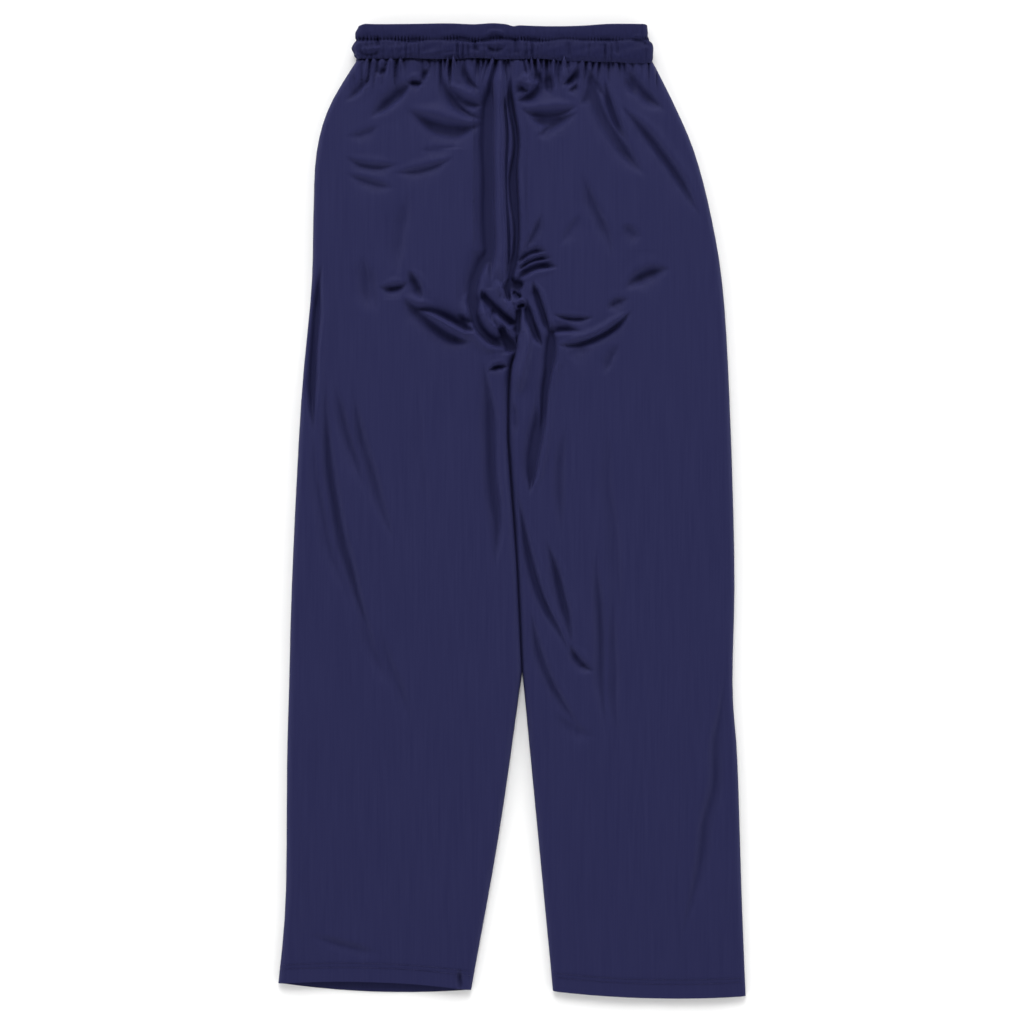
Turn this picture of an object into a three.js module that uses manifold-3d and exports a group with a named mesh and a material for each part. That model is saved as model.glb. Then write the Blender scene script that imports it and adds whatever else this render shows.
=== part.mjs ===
// Knit training trousers laid flat on their front, with the back of the garment up, in millimetres.
// +X is the wearer's right, +Y runs to the waistband, +Z is up, and the front panels lie on Z = 0.
// The origin is the middle of the garment's outline. The two layers stand apart by the air inside.
import * as THREE from 'three';
import { mergeVertices } from 'three/addons/utils/BufferGeometryUtils.js';
import Module from 'manifold-3d';

const wasm = await Module();
wasm.setup();

// ---- Driving dimensions -------------------------------------------------------------------------
const OVERALL_LENGTH = 1000;   // top of the waistband to the lowest point of the longer leg
const RISE = 266;              // waist seam to the crotch
const BAND_WIDTH = 304;        // relaxed waistband, laid flat
const BAND_DEPTH = 38;         // waistband, top edge to waist seam
const BAND_OFFSET = -8;        // the gathered band lies a little to the wearer's left
const UPPER_CHANNEL = 17;      // top edge of the band to the stitching that divides it
const HEM_WIDTH = 198;         // leg opening, laid flat
const HEM_DEPTH = 20;          // fabric turned up inside each leg
const HEM_INSET = 3;           // the turned-up cloth lies this far inside the leg's edges
const HEM_SPREAD = 282;        // between the middles of the two leg openings
const FABRIC = 1.0;            // knit fabric
const ELASTIC = 1.2;           // woven elastic inside the band
const LOFT = 10;               // clear height between the front and back panels
const BAND_OPENING = 7.4;      // clear height inside the waistband
const ALLOWANCE = 6;           // overlocked seam allowance inside the side seams and inseams
const CENTRE_SEAM = 8;         // opened allowance of the two centre seams
const WAIST_SEAM = 8;          // overlocked allowance hanging below the band
const DIVIDER = 2;             // stitching that divides the band's two channels
const EYELET_RADIUS = 5;       // bound eyelet for the drawcord, outside
const EYELET_BORE = 2.5;
const EYELET_SPACING = 50;
const CARE_LABEL = { width: 30, length: 55 };
const SIZE_LABEL = { width: 14, length: 18 };
const LABEL = 0.4;             // satin label tape
const LABEL_GAP = 6;           // between the two labels
const THREAD = 0.5;            // height of a cover stitch on the cloth
const STITCH_WIDTH = 5;        // between the outer needle rows of a hem's cover stitch
const SEAT_GAP = 0.3;          // clearance between pieces sewn to each other

// Half widths of the laid-out garment at named heights, wearer's left and right.
const LEFT = {
  side: -1, shoulder: 188, seat: 201, hip: 204, fork: 206, thigh: 216.5, knee: 225.5, calf: 229, shin: 231,
  ankle: 232.5, innerBow: 3, shorter: 7, tilt: -2, backBow: 5, frontBow: -5.5,
};
const RIGHT = {
  side: 1, shoulder: 168, seat: 188, hip: 204.5, fork: 216.5, thigh: 223.5, knee: 228.5, calf: 226.5, shin: 231.5,
  ankle: 236, innerBow: 0, shorter: 0, tilt: -1.5, backBow: -4.5, frontBow: -3,
};
// Where those heights are: the first four as shares of the rise, the rest as shares of the inseam.
const ABOVE_FORK = { shoulder: 0.18, seat: 0.36, hip: 0.6, fork: 0.88 };
const BELOW_FORK = { thigh: 0.12, knee: 0.37, calf: 0.545, shin: 0.655, ankle: 0.86 };
const LEGS_PART = 0.523;       // share of the inseam where the two legs stop touching

// The centre seam, and the line where the inner thighs touch, as they lie: share of the stretch, then X.
const CENTRE_LINE = [[0, -6], [0.4, -4], [0.75, 2], [1, 7.5]];
const THIGH_LINE = [[0, 7.5], [0.09, 3.5], [0.15, -2], [0.31, -4], [0.47, -0.5], [0.7, 5.5], [1, 10.5]];

// ---- Heights and places that follow -------------------------------------------------------------
const TOP = OVERALL_LENGTH / 2;
const WAIST_Y = TOP - BAND_DEPTH;
const FORK_Y = WAIST_Y - RISE;
const HEM_Y = -OVERALL_LENGTH / 2 - RIGHT.backBow;
const INSEAM = FORK_Y - HEM_Y;
const PART_Y = FORK_Y - LEGS_PART * INSEAM;
const BACK_Z = FABRIC + LOFT;                       // underside of the back panels
const INSIDE_Z = FABRIC + SEAT_GAP;                 // lowest level of what is sewn inside
const INSIDE_HEIGHT = LOFT - 2 * SEAT_GAP;
const WALL = 2 * FABRIC + ELASTIC + 2 * SEAT_GAP;   // waistband: cloth, elastic, cloth
const BAND_HEIGHT = BAND_OPENING + 2 * WALL;
const INNER_INSET = WALL - FABRIC;                  // outer face of the band to its inner cloth
const ARC_STEPS = 8;

// ---- Materials ----------------------------------------------------------------------------------
const cloth = (color, roughness) => new THREE.MeshStandardMaterial({ color, roughness, metalness: 0 });
const KNIT = cloth(0x2e2e58, 0.55);
const HEM_KNIT = cloth(0x28294d, 0.6);
const SEAM_THREAD = cloth(0x222344, 0.7);
const STITCH_THREAD = cloth(0x343568, 0.5);
const ELASTIC_YARN = cloth(0xe8e6df, 0.8);
const LABEL_SATIN = cloth(0xf2f1ec, 0.4);

// ---- Tools --------------------------------------------------------------------------------------
const garment = new THREE.Group();

function addPiece(name, geometry, material) {
  const mesh = new THREE.Mesh(geometry, material);
  mesh.name = name;
  garment.add(mesh);
  return mesh;
}

function solidOf(geometry) {
  const plain = geometry.clone();
  plain.deleteAttribute('normal');
  plain.deleteAttribute('uv');
  const merged = mergeVertices(plain, 1e-4);
  return new wasm.Manifold(new wasm.Mesh({
    numProp: 3,
    vertProperties: new Float32Array(merged.attributes.position.array),
    triVerts: new Uint32Array(merged.index.array),
  }));
}

function geometryOf(solid) {
  const mesh = solid.getMesh();
  const geometry = new THREE.BufferGeometry();
  geometry.setAttribute('position', new THREE.BufferAttribute(new Float32Array(mesh.vertProperties), 3));
  geometry.setIndex(new THREE.BufferAttribute(new Uint32Array(mesh.triVerts), 1));
  geometry.computeVertexNormals();
  return geometry;
}

// A flat sheet with the given outline, lying at height z.
function plate(outline, z, thickness) {
  const shape = new THREE.Shape(outline);
  return new THREE.ExtrudeGeometry(shape, { depth: thickness, bevelEnabled: false }).translate(0, 0, z);
}

// A flattened hoop's outline, as wide and high as given, resting on height z.
function addHoop(path, width, height, z) {
  const radius = height / 2;
  const reach = width / 2 - radius;
  path.moveTo(-reach, z);
  path.lineTo(reach, z);
  path.absarc(reach, z + radius, radius, -Math.PI / 2, Math.PI / 2, false);
  path.lineTo(-reach, z + height);
  path.absarc(-reach, z + radius, radius, Math.PI / 2, 1.5 * Math.PI, false);
  return path;
}

// A solid flattened hoop running down from the edge at y = top.
function hoopBlock(width, height, z, top, depth) {
  const shape = addHoop(new THREE.Shape(), width, height, z);
  const geometry = new THREE.ExtrudeGeometry(shape, { depth, bevelEnabled: false, curveSegments: ARC_STEPS });
  return geometry.rotateX(Math.PI / 2).translate(0, top, 0);
}

// The same, hollow: a loop of cloth or elastic whose wall has the given thickness.
function loop(width, height, z, top, depth, wall) {
  const shape = addHoop(new THREE.Shape(), width, height, z);
  shape.holes.push(addHoop(new THREE.Path(), width - 2 * wall, height - 2 * wall, z + wall));
  const geometry = new THREE.ExtrudeGeometry(shape, { depth, bevelEnabled: false, curveSegments: ARC_STEPS });
  return geometry.rotateX(Math.PI / 2).translate(0, top, 0);
}

// A smooth line through points given as X and Y.
function smooth(points, steps) {
  return new THREE.SplineCurve(points.map(([x, y]) => new THREE.Vector2(x, y))).getPoints(steps);
}

const shifted = (line, dx) => line.map((p) => new THREE.Vector2(p.x + dx, p.y));

// ---- Lines that the panels and seams share ------------------------------------------------------
const centreLine = smooth(CENTRE_LINE.map(([share, x]) => [x, WAIST_Y - share * RISE]), 12);
const thighLine = smooth(THIGH_LINE.map(([share, x]) => [x, FORK_Y - share * (FORK_Y - PART_Y)]), 24);

function hemCorner(leg, inward) {
  const middle = leg.side * HEM_SPREAD / 2;
  const dx = (inward ? -leg.side : leg.side) * HEM_WIDTH / 2;
  const drop = dx * Math.tan(THREE.MathUtils.degToRad(leg.tilt));
  return new THREE.Vector2(middle + dx, HEM_Y + leg.shorter + drop);
}

// From the waist seam down the outside of the leg to the hem.
function outerLine(leg) {
  const points = [[BAND_OFFSET + leg.side * BAND_WIDTH / 2, WAIST_Y]];
  for (const [place, share] of Object.entries(ABOVE_FORK)) {
    points.push([leg.side * leg[place], WAIST_Y - share * RISE]);
  }
  for (const [place, share] of Object.entries(BELOW_FORK)) {
    points.push([leg.side * leg[place], FORK_Y - share * INSEAM]);
  }
  points.push(hemCorner(leg, false).toArray());
  return smooth(points, 36);
}

// From where the legs part down the inside of the leg to the hem.
function innerLine(leg) {
  const top = thighLine[thighLine.length - 1];
  const hem = hemCorner(leg, true);
  const middle = [(top.x + hem.x) / 2 - leg.side * leg.innerBow, (top.y + hem.y) / 2];
  return smooth([top.toArray(), middle, hem.toArray()], 10);
}

// The leg opening's edge, bowed up or down in the middle, from the outer corner to the inner one.
function hemLine(leg, bow) {
  const outer = hemCorner(leg, false);
  const inner = hemCorner(leg, true);
  const control = new THREE.Vector2((outer.x + inner.x) / 2, (outer.y + inner.y) / 2 + 2 * bow);
  return new THREE.QuadraticBezierCurve(outer, control, inner).getPoints(10);
}

function withoutRepeats(points) {
  return points.filter((p, i) => i === 0 || p.distanceTo(points[i - 1]) > 0.01);
}

// ---- Panels -------------------------------------------------------------------------------------
function panelOutline(leg, bow) {
  const inset = leg.side * SEAT_GAP / 2;
  const inner = shifted([...centreLine, ...thighLine, ...innerLine(leg)], inset);
  inner.pop();
  return withoutRepeats([...outerLine(leg), ...hemLine(leg, bow), ...inner.reverse()]);
}

function lowered(outline) {
  return outline.map((p) => new THREE.Vector2(p.x, Math.min(p.y, WAIST_Y - SEAT_GAP)));
}

function addPanels(leg, sideName) {
  const back = lowered(panelOutline(leg, leg.backBow));
  const front = lowered(panelOutline(leg, leg.frontBow));
  addPiece(`back_panel_${sideName}`, plate(back, BACK_Z, FABRIC), KNIT);
  addPiece(`front_panel_${sideName}`, plate(front, 0, FABRIC), KNIT);
}

// ---- Seams --------------------------------------------------------------------------------------
// The turn-up stays behind the shorter layer's edge, so it starts this far above the corners.
const hemLift = (leg) => Math.max(leg.backBow, 0) + SEAT_GAP;

// The part of a downward line that lies between two heights.
function between(line, low, high) {
  const at = (a, b, y) => a.clone().lerp(b, (a.y - y) / (a.y - b.y));
  const kept = [];
  for (let i = 1; i < line.length; i += 1) {
    const [a, b] = [line[i - 1], line[i]];
    if (a.y <= low || b.y >= high) continue;
    if (kept.length === 0) kept.push(a.y > high ? at(a, b, high) : a);
    kept.push(b.y < low ? at(a, b, low) : b);
  }
  return withoutRepeats(kept);
}

// A strip of seam allowance from one line to the same line moved sideways.
function strip(line, from, to) {
  return [...shifted(line, from), ...shifted(line, to).reverse()];
}

function addLegSeams(leg, sideName) {
  const side = leg.side;
  const slant = ALLOWANCE * Math.abs(Math.tan(THREE.MathUtils.degToRad(leg.tilt)));
  const clear = HEM_DEPTH + hemLift(leg) + slant + SEAT_GAP;
  const outerLow = hemCorner(leg, false).y + clear;
  const innerLow = hemCorner(leg, true).y + clear;
  const outer = between(outerLine(leg), outerLow, WAIST_Y - WAIST_SEAM - 2 * SEAT_GAP);
  const inner = between([...thighLine, ...innerLine(leg).slice(1)], innerLow, FORK_Y - SEAT_GAP);
  addPiece(
    `side_seam_${sideName}`,
    plate(strip(outer, 0, -side * ALLOWANCE), INSIDE_Z, INSIDE_HEIGHT),
    SEAM_THREAD,
  );
  addPiece(
    `inseam_${sideName}`,
    plate(strip(inner, side * SEAT_GAP / 2, side * (SEAT_GAP / 2 + ALLOWANCE)), INSIDE_Z, INSIDE_HEIGHT),
    SEAM_THREAD,
  );
}

function addCentreSeams() {
  const line = between(centreLine, FORK_Y - 1, WAIST_Y - WAIST_SEAM - 2 * SEAT_GAP);
  const outline = strip(line, -CENTRE_SEAM / 2, CENTRE_SEAM / 2);
  addPiece('centre_back_seam', plate(outline, BACK_Z - SEAT_GAP - FABRIC, FABRIC), SEAM_THREAD);
  addPiece('centre_front_seam', plate(outline, INSIDE_Z, FABRIC), SEAM_THREAD);
}

// ---- Leg hems -----------------------------------------------------------------------------------
function addHem(leg, sideName) {
  const width = HEM_WIDTH - 2 * HEM_INSET;
  const top = HEM_DEPTH + hemLift(leg);
  const turnUp = loop(width, INSIDE_HEIGHT, INSIDE_Z, top, HEM_DEPTH, FABRIC);
  const rowOfStitches = new THREE.BoxGeometry(width, STITCH_WIDTH, THREAD);
  rowOfStitches.translate(0, top - STITCH_WIDTH / 2, BACK_Z + FABRIC + SEAT_GAP + THREAD / 2);
  for (const [name, geometry, material] of [
    [`hem_turnup_${sideName}`, turnUp, HEM_KNIT],
    [`hem_stitching_${sideName}`, rowOfStitches, STITCH_THREAD],
  ]) {
    const piece = addPiece(name, geometry, material);
    piece.position.set(leg.side * HEM_SPREAD / 2, HEM_Y + leg.shorter, 0);
    piece.rotation.z = THREE.MathUtils.degToRad(leg.tilt);
  }
}

// ---- Waistband ----------------------------------------------------------------------------------
// The outer cloth folds over the top edge, and its inner turn is a piece of its own inside the elastic.
function addWaistband() {
  const whole = solidOf(hoopBlock(BAND_WIDTH, BAND_HEIGHT, 0, TOP, BAND_DEPTH));
  const tunnel = solidOf(hoopBlock(
    BAND_WIDTH - 2 * FABRIC, BAND_HEIGHT - 2 * FABRIC, FABRIC, TOP - FABRIC, BAND_DEPTH,
  ));
  const waist = solidOf(hoopBlock(
    BAND_WIDTH - 2 * WALL, BAND_HEIGHT - 2 * WALL, WALL, TOP + FABRIC, BAND_DEPTH + 2 * FABRIC,
  ));
  let outer = whole.subtract(tunnel).subtract(waist);
  const eyeletY = TOP - UPPER_CHANNEL - (BAND_DEPTH - UPPER_CHANNEL) / 2;
  for (const [name, x] of [['left', -EYELET_SPACING / 2], ['right', EYELET_SPACING / 2]]) {
    const hole = new THREE.CylinderGeometry(
      EYELET_RADIUS + SEAT_GAP, EYELET_RADIUS + SEAT_GAP, 3 * FABRIC, 3 * ARC_STEPS,
    );
    outer = outer.subtract(solidOf(hole.rotateX(Math.PI / 2).translate(x, eyeletY, 0)));
    addPiece(`drawcord_eyelet_${name}`, eyelet(), STITCH_THREAD).position.set(x + BAND_OFFSET, eyeletY, 0);
  }
  const inner = loop(
    BAND_WIDTH - 2 * INNER_INSET, BAND_HEIGHT - 2 * INNER_INSET, INNER_INSET,
    TOP - FABRIC - SEAT_GAP, BAND_DEPTH - FABRIC - SEAT_GAP, FABRIC,
  );
  addPiece('waistband_outer', geometryOf(outer), KNIT).position.x = BAND_OFFSET;
  addPiece('waistband_inner', inner, HEM_KNIT).position.x = BAND_OFFSET;
}

function eyelet() {
  const profile = [
    [EYELET_BORE, 0], [EYELET_RADIUS, 0], [EYELET_RADIUS, FABRIC], [EYELET_BORE, FABRIC], [EYELET_BORE, 0],
  ];
  const points = profile.map(([r, z]) => new THREE.Vector2(r, z));
  return new THREE.LatheGeometry(points, 3 * ARC_STEPS).rotateX(Math.PI / 2);
}

// Elastics and the stitching between them share the space between the band's two turns of cloth.
function addChannelLoop(name, top, depth, material) {
  const inset = FABRIC + SEAT_GAP;
  const geometry = loop(BAND_WIDTH - 2 * inset, BAND_HEIGHT - 2 * inset, inset, top, depth, ELASTIC);
  addPiece(name, geometry, material).position.x = BAND_OFFSET;
}

function addElastics() {
  const upperTop = TOP - FABRIC - SEAT_GAP;
  const dividerTop = TOP - UPPER_CHANNEL;
  const lowerTop = dividerTop - DIVIDER - SEAT_GAP;
  addChannelLoop('waist_elastic_upper', upperTop, upperTop - dividerTop - SEAT_GAP, ELASTIC_YARN);
  addChannelLoop('waistband_divider_seam', dividerTop, DIVIDER, STITCH_THREAD);
  addChannelLoop('waist_elastic_lower', lowerTop, lowerTop - WAIST_Y - SEAT_GAP, ELASTIC_YARN);
}

function addWaistSeam() {
  const width = BAND_WIDTH - 2 * SEAT_GAP;
  const geometry = loop(width, INSIDE_HEIGHT, INSIDE_Z, WAIST_Y - SEAT_GAP, WAIST_SEAM, FABRIC);
  addPiece('waist_seam', geometry, SEAM_THREAD).position.x = BAND_OFFSET;
}

// ---- Labels, sewn into the waist seam at the centre back ----------------------------------------
function addLabels() {
  const z = BACK_Z - 2 * SEAT_GAP - FABRIC - LABEL / 2;
  const top = WAIST_Y - SEAT_GAP;
  let x = BAND_OFFSET - CARE_LABEL.width / 2;
  for (const [name, size] of [['care_label', CARE_LABEL], ['size_label', SIZE_LABEL]]) {
    const geometry = new THREE.BoxGeometry(size.width, size.length, LABEL);
    geometry.translate(size.width / 2, -size.length / 2, 0);
    addPiece(name, geometry, LABEL_SATIN).position.set(x, top, z);
    x += size.width + LABEL_GAP;
  }
}

for (const [leg, sideName] of [[LEFT, 'left'], [RIGHT, 'right']]) {
  addPanels(leg, sideName);
  addLegSeams(leg, sideName);
  addHem(leg, sideName);
}
addCentreSeams();
addWaistband();
addElastics();
addWaistSeam();
addLabels();

export default garment;
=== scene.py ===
# %% [markdown]
# # Knit training trousers, laid flat with the back up
# The real garment is cut from one smooth polyester knit: two back panels, two front panels, a gathered
# waistband with two elastics in it, and turned-up hems held with cover stitching. Everything here hangs on
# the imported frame: outlines, heights and seams are all read from its pieces, in metres.

# %% Load the frame
import math

import bpy
import numpy as np
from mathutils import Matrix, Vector


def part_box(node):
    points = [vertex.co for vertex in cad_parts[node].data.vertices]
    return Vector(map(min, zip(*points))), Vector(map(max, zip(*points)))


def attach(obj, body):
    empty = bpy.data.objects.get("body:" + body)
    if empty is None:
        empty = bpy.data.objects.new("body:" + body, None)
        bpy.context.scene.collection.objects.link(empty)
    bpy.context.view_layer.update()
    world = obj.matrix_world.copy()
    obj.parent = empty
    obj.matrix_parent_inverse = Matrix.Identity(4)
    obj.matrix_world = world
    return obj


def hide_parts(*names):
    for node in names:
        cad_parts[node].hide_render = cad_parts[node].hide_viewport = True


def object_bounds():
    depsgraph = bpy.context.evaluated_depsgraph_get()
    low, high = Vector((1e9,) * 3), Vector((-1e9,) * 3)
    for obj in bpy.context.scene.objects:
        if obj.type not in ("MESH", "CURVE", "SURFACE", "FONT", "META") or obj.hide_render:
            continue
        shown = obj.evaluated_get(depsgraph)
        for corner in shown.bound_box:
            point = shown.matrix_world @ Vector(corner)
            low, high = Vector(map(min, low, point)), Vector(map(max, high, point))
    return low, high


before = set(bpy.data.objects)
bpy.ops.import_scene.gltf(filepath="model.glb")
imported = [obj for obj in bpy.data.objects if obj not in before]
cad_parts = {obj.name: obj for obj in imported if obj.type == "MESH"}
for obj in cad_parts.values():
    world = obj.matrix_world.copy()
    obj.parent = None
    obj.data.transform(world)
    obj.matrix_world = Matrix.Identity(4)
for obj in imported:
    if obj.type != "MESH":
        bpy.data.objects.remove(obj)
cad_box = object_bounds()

MM = 0.001
print("frame pieces:", len(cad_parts))

# %% [markdown]
# ## Colours and nodes
# Colours are picked as sRGB hex, the way that a dye chart gives them, and turned to linear once, here. One
# function adds a node with its values, links and colour stops, so that the light and each material below read
# as a short recipe.

# %% Colours and nodes
def linear(colour):
    parts = [int(colour[i:i + 2], 16) / 255 for i in (1, 3, 5)]
    return [c / 12.92 if c <= 0.04045 else ((c + 0.055) / 1.055) ** 2.4 for c in parts] + [1.0]


def node(tree, kind, values=None, links=None, stops=()):
    """Adds a node, sets its values and its ramp's stops, and links its inputs to other nodes' outputs."""
    made = tree.nodes.new(kind)
    for key, value in (values or {}).items():
        made.inputs[key].default_value = value
    for key, source in (links or {}).items():
        tree.links.new(source, made.inputs[key])
    for number, (position, colour) in enumerate(stops):
        made.color_ramp.elements[number].position = position
        made.color_ramp.elements[number].color = colour
    return made


# %% [markdown]
# ## Camera and floor
# Flat garments are shown from straight above, with a long lens so that the hems and the band keep their true
# widths. The floor is pale and plain, and lies just under the cloth.

# %% Camera and floor
def middle_of(box):
    return (box[0] + box[1]) / 2


VIEW_MARGIN = 1.047        # the view's height as a share of the garment's length
CAMERA_HEIGHT = 3.0
CAMERA_SHIFT = 1 * MM      # the view's middle is this far towards the hems
SENSOR = 36.0
FLOOR_SIZE = 40
FLOOR_GAP = 0.4 * MM
garment_middle = middle_of(cad_box)
garment_length = cad_box[1].y - cad_box[0].y

camera_data = bpy.data.cameras.new("overhead_camera")
camera_data.sensor_width = SENSOR
camera_data.lens = SENSOR * CAMERA_HEIGHT / (VIEW_MARGIN * garment_length)
camera = bpy.data.objects.new("overhead_camera", camera_data)
camera.location = (garment_middle.x, garment_middle.y - CAMERA_SHIFT, CAMERA_HEIGHT + cad_box[1].z)
bpy.context.scene.collection.objects.link(camera)
bpy.context.scene.camera = camera
bpy.context.scene.view_settings.view_transform = "Standard"

bpy.ops.mesh.primitive_plane_add(size=FLOOR_SIZE, location=(0, 0, -FLOOR_GAP))
floor = bpy.context.object
floor.name = "floor"
print("lens", round(camera_data.lens, 1), "mm")

# %% [markdown]
# ## Light
# The surround is bright up to about 27 degrees above the horizon and dark from about 40 degrees up, like a
# ring of soft panels round a table. That light reaches the slopes of the cloth but not the bottom of a
# crease, which goes dark as it does on real navy knit. One large soft light on the waist side adds direction,
# so that the side of each fold that faces the hems is in shade.

# %% Light
def add_light(name, place, target, size, power):
    data = bpy.data.lights.new(name, "AREA")
    data.shape = "DISK"
    data.size = size
    data.energy = power
    light = bpy.data.objects.new(name, data)
    light.location = place
    aim = Vector(target) - light.location
    light.rotation_mode = "QUATERNION"
    light.rotation_quaternion = aim.to_track_quat("-Z", "Y")
    bpy.context.scene.collection.objects.link(light)


add_light("waist_side_softbox", (-0.42, 5.0, 3.6), (0, 0, 0), 3.9, 240)

RING_TOP = 0.46            # sine of the elevation where the bright ring starts to fade
DARK_FROM = 0.65           # and where it has faded
OVERHEAD = 0.06            # brightness overhead, as a share of the ring's
RING_STRENGTH = 2.55
world = bpy.data.worlds.new("studio")
bpy.context.scene.world = world
world.use_nodes = True
surround = world.node_tree
direction = node(surround, "ShaderNodeTexCoord")
elevation = node(surround, "ShaderNodeSeparateXYZ", links={"Vector": direction.outputs["Generated"]})
ring = node(surround, "ShaderNodeValToRGB", links={"Fac": elevation.outputs["Z"]},
            stops=[(RING_TOP, (1, 1, 1, 1)), (DARK_FROM, (OVERHEAD, OVERHEAD, OVERHEAD, 1))])
background = surround.nodes["Background"]
surround.links.new(ring.outputs["Color"], background.inputs["Color"])
background.inputs["Strength"].default_value = RING_STRENGTH
print("surround:", len(surround.nodes), "nodes")

# %% [markdown]
# ## What the textiles share
# Every textile here is dyed yarn in rows, so all of them are one recipe: streaks between two dyes that lie
# close together, and a relief of the same grain. What differs is the size of the streaks and the gloss.

# %% A textile
def new_material(name):
    material = bpy.data.materials.new(name)
    material.use_nodes = True
    return material, material.node_tree, material.node_tree.nodes["Principled BSDF"]


FIRST_DYE = 0.3            # the grain's value up to which the first dye shows alone
SECOND_DYE = 0.7           # and from which the second does


def streaks(tree, across, along):
    """Noise drawn out along the garment's length. Both numbers are the real size of one mark, in metres."""
    place = node(tree, "ShaderNodeTexCoord").outputs["Object"]
    scaled = node(tree, "ShaderNodeMapping", values={"Scale": (1 / across, 1 / along, 1 / across)},
                  links={"Vector": place})
    return node(tree, "ShaderNodeTexNoise", values={"Scale": 1.0, "Detail": 3.0},
                links={"Vector": scaled.outputs["Vector"]}).outputs["Fac"]


def textile(name, low, high, across, along, roughness, sheen, relief, specular=0.4):
    """A dyed textile: streaked colour between two dyes, and a relief of the same grain, in metres."""
    material, tree, shader = new_material(name)
    grain = streaks(tree, across, along)
    dyed = node(tree, "ShaderNodeValToRGB", links={"Fac": grain},
                stops=[(FIRST_DYE, linear(low)), (SECOND_DYE, linear(high))])
    tree.links.new(dyed.outputs["Color"], shader.inputs["Base Color"])
    bump = node(tree, "ShaderNodeBump", values={"Strength": 0.5, "Distance": relief}, links={"Height": grain})
    tree.links.new(bump.outputs["Normal"], shader.inputs["Normal"])
    shader.inputs["Roughness"].default_value = roughness
    shader.inputs["IOR"].default_value = 1.53
    shader.inputs["Specular IOR Level"].default_value = specular
    shader.inputs["Sheen Weight"].default_value = sheen
    shader.inputs["Sheen Roughness"].default_value = 0.45
    return material


# %% [markdown]
# ## Materials
# Smooth warp knit of polyester filament is a calm cloth with faint lengthwise streaks, where neighbouring
# columns of loops took up the dye a little differently. A column is about 0.6 mm wide, too fine to show from
# this far, so it is drawn 1.6 mm wide. The elastics bunch the band's knit into crinkles too fine for the
# mesh. They are a relief in its material. Its colours are also a shade darker than the knit's, as painted
# shade standing in for the shade between the crinkles. The wrong side is matt. Overlock and sewing thread are
# spun polyester, the elastic is woven with ribs across it, and the labels are satin tape.

# %% Materials
knit = textile("warp_knit_polyester", "#222346", "#26274a", 1.6 * MM, 70 * MM, 0.62, 0.01, 0.05 * MM, 0.06)
# The band's two dyes are darker than the knit's: painted shade for the shade in its fine crinkles.
bunched_knit_painted_shade = textile("warp_knit_bunched_painted_shade", "#191a3a", "#1e1f41", 1.3 * MM, 9 * MM, 0.65, 0.01, 0.5 * MM,
                       0.06)
knit_inside = textile("warp_knit_wrong_side", "#24254a", "#2b2c54", 1.6 * MM, 30 * MM, 0.75, 0.1, 0.2 * MM,
                      0.25)
overlock = textile("overlock_thread", "#1e1f40", "#26274c", 1.2 * MM, 1.2 * MM, 0.7, 0.1, 0.2 * MM, 0.3)
thread = textile("spun_sewing_thread", "#1b1c42", "#22234c", 0.6 * MM, 0.6 * MM, 0.5, 0.05, 0.1 * MM, 0.12)
elastic_weave = textile("woven_elastic", "#dad7cf", "#efece6", 1.0 * MM, 8 * MM, 0.8, 0.0, 0.3 * MM, 0.3)
label_satin = textile("satin_label_tape", "#ecebe6", "#f8f7f3", 0.5 * MM, 5 * MM, 0.4, 0.1, 0.05 * MM)
floor_paper, floor_tree, floor_shader = new_material("white_paper_floor")
floor_tint = node(floor_tree, "ShaderNodeValToRGB", links={"Fac": streaks(floor_tree, 0.2, 0.2)},
                  stops=[(FIRST_DYE, linear("#fcfcfc")), (SECOND_DYE, linear("#ffffff"))])
floor_tree.links.new(floor_tint.outputs["Color"], floor_shader.inputs["Base Color"])
floor_shader.inputs["Roughness"].default_value = 0.9
floor_shader.inputs["Specular IOR Level"].default_value = 0.0
floor.data.materials.append(floor_paper)
print("materials:", len(bpy.data.materials))

# %% [markdown]
# ## The lines that the cloth follows
# Each panel of the frame is a flat plate, so its top face carries the cutting line. The outside, the inside
# and the hem of the line are read off it as three runs of points, and every piece of cloth takes its width
# from them. From here on the shapes are worked out in millimetres.

# %% Read the cutting lines
def cutting_lines(name, side):
    """The plate's outer, inner and hem edges, as X against Y, or for the hem Y against X."""
    co = np.array([v.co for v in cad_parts[name].data.vertices]) / MM
    top = co[co[:, 2] > co[:, 2].max() - 0.1]
    points = np.unique(np.round(top[:, :2], 3), axis=0)
    outer_corner = points[np.argmax(side * points[:, 0] - points[:, 1])]
    inner_corner = points[np.argmax(-side * points[:, 0] - points[:, 1])]
    halfway = (outer_corner[0] + inner_corner[0]) / 2
    above = points[:, 1] > max(outer_corner[1], inner_corner[1]) + 8
    middle = np.interp(points[:, 1], [inner_corner[1], 0, 500], [halfway, side * 105, side * 90])
    outside = above & (side * (points[:, 0] - middle) > 0)
    inside = above & ~outside
    hem = ~above & (np.abs(points[:, 0] - halfway) < abs(outer_corner[0] - halfway) + 0.01)
    runs = []
    for chosen, corner in ((outside, outer_corner), (inside, inner_corner)):
        run = np.vstack([corner, points[chosen]])
        run = run[np.argsort(run[:, 1])]
        runs.append((run[:, 1], run[:, 0]))
    bottom = points[hem][np.argsort(points[hem][:, 0])]
    return {"outer": runs[0], "inner": runs[1], "hem": (bottom[:, 0], bottom[:, 1])}


SIDES = {"left": -1, "right": 1}
BACK = {name: cutting_lines(f"back_panel_{name}", side) for name, side in SIDES.items()}
FRONT = {name: cutting_lines(f"front_panel_{name}", side) for name, side in SIDES.items()}


def edge_x(lines, which, y):
    heights, xs = lines[which]
    return np.interp(y, heights, xs)


def centre_x(y):
    return (edge_x(BACK["left"], "inner", y) + edge_x(BACK["right"], "inner", y)) / 2


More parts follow.
